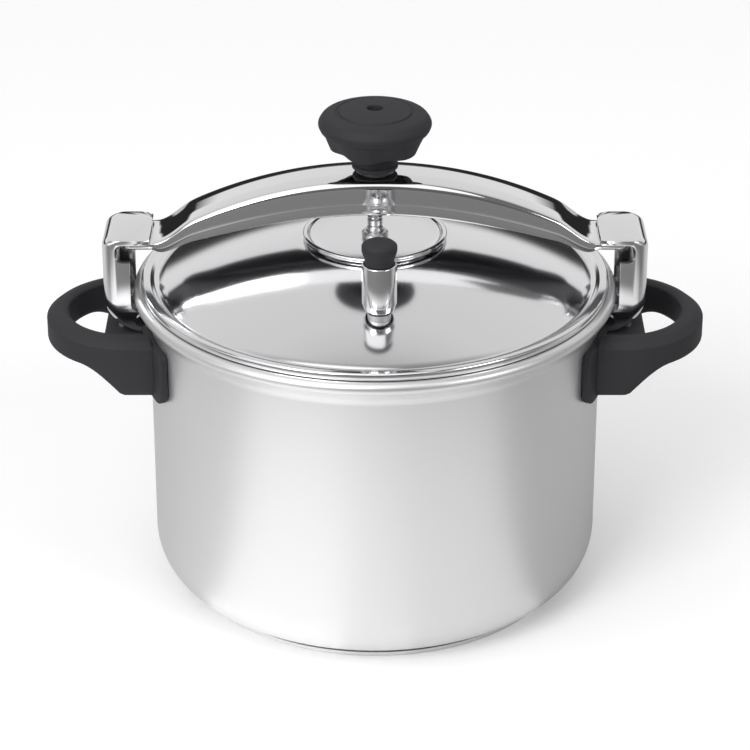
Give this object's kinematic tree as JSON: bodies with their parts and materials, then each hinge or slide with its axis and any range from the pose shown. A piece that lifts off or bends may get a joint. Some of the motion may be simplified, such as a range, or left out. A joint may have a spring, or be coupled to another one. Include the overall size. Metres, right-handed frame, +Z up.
{
  "type": "pressure canner",
  "caption": "Deep steel stovetop pressure pot with a domed lid, a screw-down bridge held by side hooks, and black loop handles.",
  "frame": {"origin": "centre of the base's underside, on the pot's axis", "axes": "+Z up along the pot's axis, X through the two hooks and handles, the operating valve towards -Y"},
  "size_m": [0.35, 0.2558, 0.2694],
  "materials": {
    "satin_steel": "satin stainless steel, fine horizontal grain",
    "polished_steel": "mirror-polished stainless steel",
    "machined_steel": "turned steel",
    "aluminium": "plain",
    "brass": "turned brass",
    "black_phenolic": "satin moulded phenolic",
    "black_rubber": "matte"
  },
  "bodies": {
    "pot": {"pot_body": "satin_steel", "base_core": "aluminium", "base_cap": "satin_steel", "left_bracket": "polished_steel", "right_bracket": "polished_steel", "left_hook": "polished_steel", "right_hook": "polished_steel", "left_saddle": "black_phenolic", "right_saddle": "black_phenolic", "left_handle": "black_phenolic", "right_handle": "black_phenolic", "handle_screws": "machined_steel", "hook_rivets": "polished_steel"},
    "lid": {"lid": "polished_steel", "gasket": "black_rubber", "pressure_dish": "polished_steel", "spindle_seat": "machined_steel", "vent_stem": "machined_steel", "vent_washer": "black_rubber", "vent_nut": "machined_steel", "safety_body": "brass", "safety_washer": "black_rubber", "safety_nut": "brass", "safety_cap": "brass", "safety_spring": "machined_steel"},
    "safety_plunger": {"safety_plunger": "machined_steel"},
    "valve_needle": {"valve_needle": "machined_steel"},
    "valve": {"valve_sleeve": "polished_steel", "valve_cap": "black_phenolic"},
    "bridge": {"bridge": "polished_steel", "bridge_nut": "machined_steel"},
    "foot": {"spindle_foot": "machined_steel"},
    "screw": {"spindle": "machined_steel", "knob": "black_phenolic", "knob_insert": "machined_steel", "knob_screw": "machined_steel"}
  },
  "joints": [
    {"name": "lid_turn", "type": "hinge", "parent": "pot", "child": "lid", "pos_m": [0, 0, 0.174], "axis": [0, 0, 1], "range_deg": [-90, 90]},
    {"name": "bridge_swing", "type": "hinge", "parent": "lid", "child": "bridge", "pos_m": [0, 0, 0.2], "axis": [0, 0, 1], "range_deg": [-60, 60]},
    {"name": "screw_travel", "type": "slide", "parent": "bridge", "child": "foot", "axis": [0, 0, 1], "range_m": [0, 0.008]},
    {"name": "screw_turn", "type": "hinge", "parent": "foot", "child": "screw", "pos_m": [0, 0, 0.2], "axis": [0, 0, 1], "range_deg": [0, 1441]},
    {"name": "valve_lift", "type": "slide", "parent": "lid", "child": "valve_needle", "axis": [0, 0, 1], "range_m": [0, 0.004]},
    {"name": "valve_spin", "type": "hinge", "parent": "valve_needle", "child": "valve", "pos_m": [0.0022, -0.0786, 0.2], "axis": [0, 0, 1], "continuous": true},
    {"name": "safety_lift", "type": "slide", "parent": "lid", "child": "safety_plunger", "axis": [0, 0, 1], "range_m": [0, 0.003], "stiffness_N_per_m": 2000, "deforming": ["safety_spring"]}
  ],
  "couplings": [
    {"joint": "screw_turn", "follows": "screw_travel", "rad_per_m": 3141.6}
  ]
}
